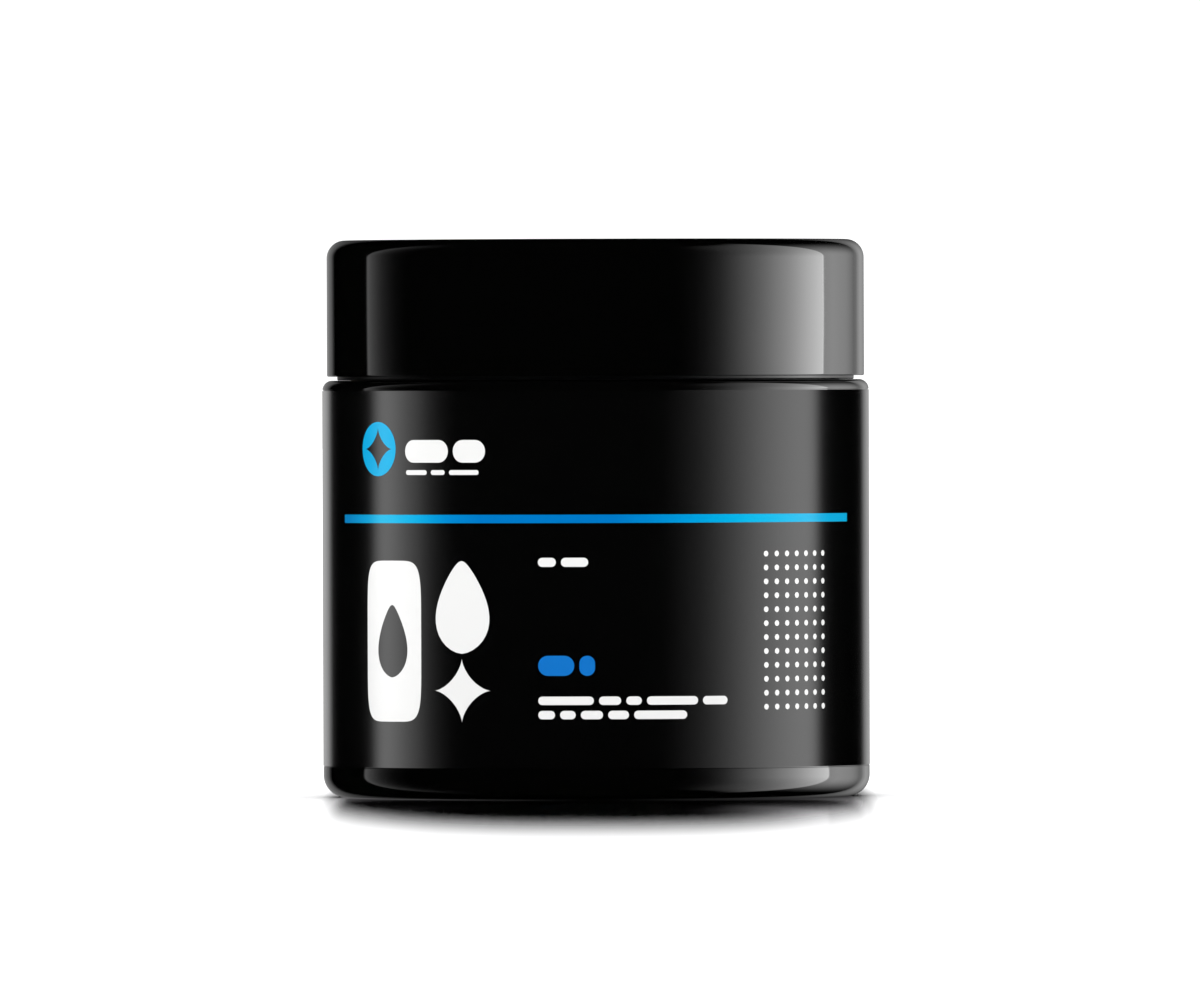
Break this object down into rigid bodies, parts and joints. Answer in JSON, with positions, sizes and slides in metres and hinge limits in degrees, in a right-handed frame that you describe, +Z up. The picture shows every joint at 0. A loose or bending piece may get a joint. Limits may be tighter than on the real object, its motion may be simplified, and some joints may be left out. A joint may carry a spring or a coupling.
{
  "type": "clay bar jar",
  "caption": "Double-walled gloss black screw-lid jar with a satin wrap label, holding film-wrapped car detailing clay bars.",
  "frame": {"origin": "middle of the jar's foot ring, on the surface that the jar stands on", "axes": "+Z up along the jar's and lid's axis, -Y towards the front of the label, +X to the viewer's right when facing the front"},
  "size_m": [0.085, 0.0851, 0.0866],
  "materials": {
    "gloss_black": "gloss",
    "black_pp": "satin",
    "label_film": "satin",
    "liner_foam": "matte",
    "clay_putty": "matte",
    "clear_film": "gloss"
  },
  "bodies": {
    "jar": {"outer_shell": "gloss_black", "inner_cup": "black_pp", "wrap_label": "label_film"},
    "seal": {"lid_liner": "liner_foam"},
    "lid": {"lid_shell": "gloss_black", "lid_insert": "black_pp"},
    "wrapped_bar_1": {"clay_bar_1": "clay_putty", "film_wrap_1": "clear_film"},
    "wrapped_bar_2": {"clay_bar_2": "clay_putty", "film_wrap_2": "clear_film"}
  },
  "joints": [
    {"name": "lid_rise", "type": "slide", "parent": "jar", "child": "seal", "axis": [0, 0, 1], "range_m": [0, 0.03]},
    {"name": "lid_turn", "type": "hinge", "parent": "seal", "child": "lid", "pos_m": [0, 0, 0.0654], "axis": [0, 0, 1], "range_deg": [0, 1080]},
    {"name": "bar_1_lift", "type": "slide", "parent": "jar", "child": "wrapped_bar_1", "axis": [0, 0, 1], "range_m": [0, 0.008]},
    {"name": "bar_2_lift", "type": "slide", "parent": "jar", "child": "wrapped_bar_2", "axis": [0, 0, 1], "range_m": [0, 0.008]}
  ],
  "couplings": [
    {"joint": "lid_rise", "follows": "lid_turn", "m_per_rad": 0.0015915}
  ]
}
